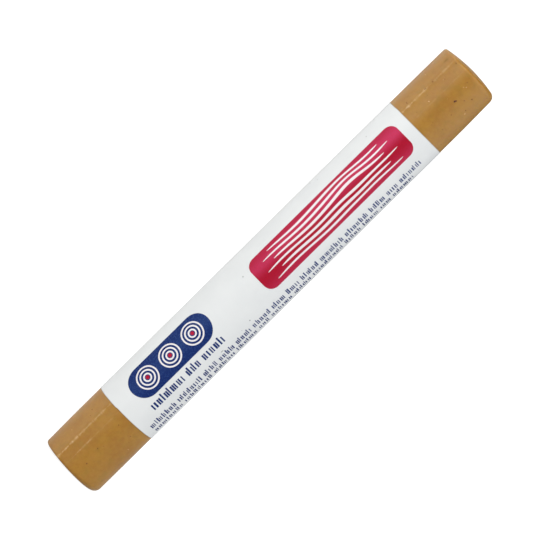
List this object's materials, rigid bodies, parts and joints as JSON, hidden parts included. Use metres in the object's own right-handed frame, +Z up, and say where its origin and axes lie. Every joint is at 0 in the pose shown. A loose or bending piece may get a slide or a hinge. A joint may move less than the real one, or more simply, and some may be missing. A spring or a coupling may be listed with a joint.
{
  "type": "furniture repair wax stick",
  "caption": "Round cast wax rod with a flat foot and a shallow crown, in a printed film label lapped onto itself that slides along the rod.",
  "frame": {"origin": "centre of the rod's flat foot, on the surface that it stands on", "axes": "+Z up the rod's axis from the foot to the crown, -Y out of the printed front of the label"},
  "size_m": [0.0113, 0.0113, 0.089],
  "materials": {
    "wax": "dull cast wax",
    "label_film": "satin white film",
    "lap_glue": "dried clear glue",
    "crimson_ink": "satin printed ink",
    "navy_ink": "satin printed ink"
  },
  "bodies": {
    "stick": {"wax_stick": "wax"},
    "label": {"label_wrap": "label_film", "lap_glue": "lap_glue"}
  },
  "joints": [
    {"name": "label_slide", "type": "slide", "parent": "stick", "child": "label", "axis": [0, 0, 1], "range_m": [-0.0116, 0.0115]}
  ]
}
